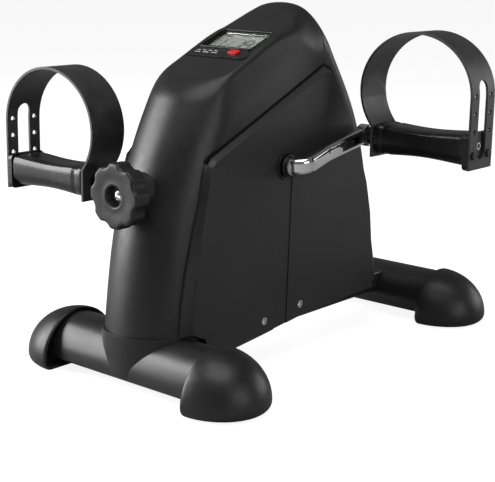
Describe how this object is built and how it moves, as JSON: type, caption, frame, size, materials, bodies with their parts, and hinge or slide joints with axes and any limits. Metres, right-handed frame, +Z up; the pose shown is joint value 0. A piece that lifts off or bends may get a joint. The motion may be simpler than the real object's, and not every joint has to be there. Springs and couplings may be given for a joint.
{
  "type": "pedal exerciser",
  "caption": "Compact pedal exerciser: black housing on two stabiliser tubes, chrome cranks, strapped pedals, tension knob and a small tilted display.",
  "frame": {"origin": "middle of the footprint, on the floor", "axes": "+Z up, +X to the user's right, -Y towards the user, who faces the display and the knob"},
  "size_m": [0.3704, 0.424, 0.318],
  "materials": {
    "tube_paint": "satin powder coat",
    "frame_paint": "satin powder coat",
    "cap_plastic": "fine satin texture",
    "bolt_steel": "zinc plated",
    "block_steel": "plain",
    "bearing_steel": "ground",
    "inner_plastic": "moulded",
    "housing_plastic": "satin, fine spark texture",
    "cover_plastic": "satin, fine spark texture",
    "strip_plastic": "satin",
    "saddle_plastic": "satin",
    "axle_steel": "turned",
    "wheel_iron": "turned rim",
    "magnet_metal": "plated",
    "knob_plastic": "satin",
    "screw_steel": "bright",
    "brake_felt": "felt",
    "meter_plastic": "semi gloss",
    "meter_lens": "clear window",
    "lcd_glass": "grey-green liquid crystal",
    "circuit_board": "solder mask",
    "cell_metal": "bright",
    "button_red": "semi gloss",
    "sleeve_plastic": "gloss",
    "arm_chrome": "bright chrome",
    "spindle_steel": "black oxide",
    "pedal_plastic": "gloss",
    "strap_rubber": "satin",
    "peg_plastic": "gloss"
  },
  "bodies": {
    "base": {"axle_grommet_left": "sleeve_plastic", "axle_grommet_right": "sleeve_plastic", "battery_cell": "cell_metal", "brake_guide": "frame_paint", "cap_front_left": "cap_plastic", "cap_front_right": "cap_plastic", "cap_rear_left": "cap_plastic", "cap_rear_right": "cap_plastic", "cover_screws_left": "screw_steel", "cover_screws_right": "screw_steel", "crank_bearings": "bearing_steel", "crank_bracket": "frame_paint", "front_housing": "housing_plastic", "front_saddle": "saddle_plastic", "front_tube": "tube_paint", "knob_bushing": "inner_plastic", "lcd_panel": "lcd_glass", "meter_board": "circuit_board", "meter_case": "meter_plastic", "meter_frame": "meter_plastic", "meter_lens": "meter_lens", "rear_housing": "housing_plastic", "rear_tube": "tube_paint", "reed_sensor": "inner_plastic", "side_cover_left": "cover_plastic", "side_cover_right": "cover_plastic", "slot_strip_left": "strip_plastic", "slot_strip_right": "strip_plastic", "spine_frame": "frame_paint", "stabilizer_bolts": "bolt_steel", "tube_blocks": "block_steel"},
    "crank": {"crank_axle": "axle_steel", "resistance_wheel": "wheel_iron", "wheel_magnet": "magnet_metal", "crank_arm_right": "arm_chrome", "axle_sleeve_right": "sleeve_plastic", "pedal_spindle_right": "spindle_steel", "crank_arm_left": "arm_chrome", "axle_sleeve_left": "sleeve_plastic", "pedal_spindle_left": "spindle_steel"},
    "pedal_right": {"pedal_body_right": "pedal_plastic", "pedal_end_cap_right": "pedal_plastic", "pedal_strap_right": "strap_rubber", "strap_pegs_right": "peg_plastic"},
    "pedal_left": {"pedal_body_left": "pedal_plastic", "pedal_end_cap_left": "pedal_plastic", "pedal_strap_left": "strap_rubber", "strap_pegs_left": "peg_plastic"},
    "knob": {"tension_knob": "knob_plastic", "knob_screw": "screw_steel", "tension_rod": "axle_steel", "rod_collar": "bearing_steel"},
    "brake": {"brake_shoe": "inner_plastic", "brake_felt": "brake_felt"},
    "button": {"meter_button": "button_red"}
  },
  "joints": [
    {"name": "crank_spin", "type": "hinge", "parent": "base", "child": "crank", "pos_m": [0, -0.044, 0.178], "axis": [1, 0, 0], "continuous": true},
    {"name": "pedal_right_spin", "type": "hinge", "parent": "crank", "child": "pedal_right", "pos_m": [0.13, 0.05639, 0.19606], "axis": [1, 0, 0], "continuous": true},
    {"name": "pedal_left_spin", "type": "hinge", "parent": "crank", "child": "pedal_left", "pos_m": [-0.13, -0.14439, 0.15994], "axis": [1, 0, 0], "continuous": true},
    {"name": "knob_turn", "type": "hinge", "parent": "base", "child": "knob", "pos_m": [0, -0.195, 0.166], "axis": [0, 1, 0], "range_deg": [0, 720]},
    {"name": "brake_slide", "type": "slide", "parent": "base", "child": "brake", "axis": [0, 1, 0], "range_m": [0, 0.003]},
    {"name": "button_press", "type": "slide", "parent": "base", "child": "button", "axis": [0, 0.3665, -0.9304], "range_m": [0, 0.0012], "stiffness_N_per_m": 300, "springref_m": -0.0005}
  ],
  "couplings": [
    {"joint": "brake_slide", "follows": "knob_turn", "m_per_rad": 0.000238}
  ]
}
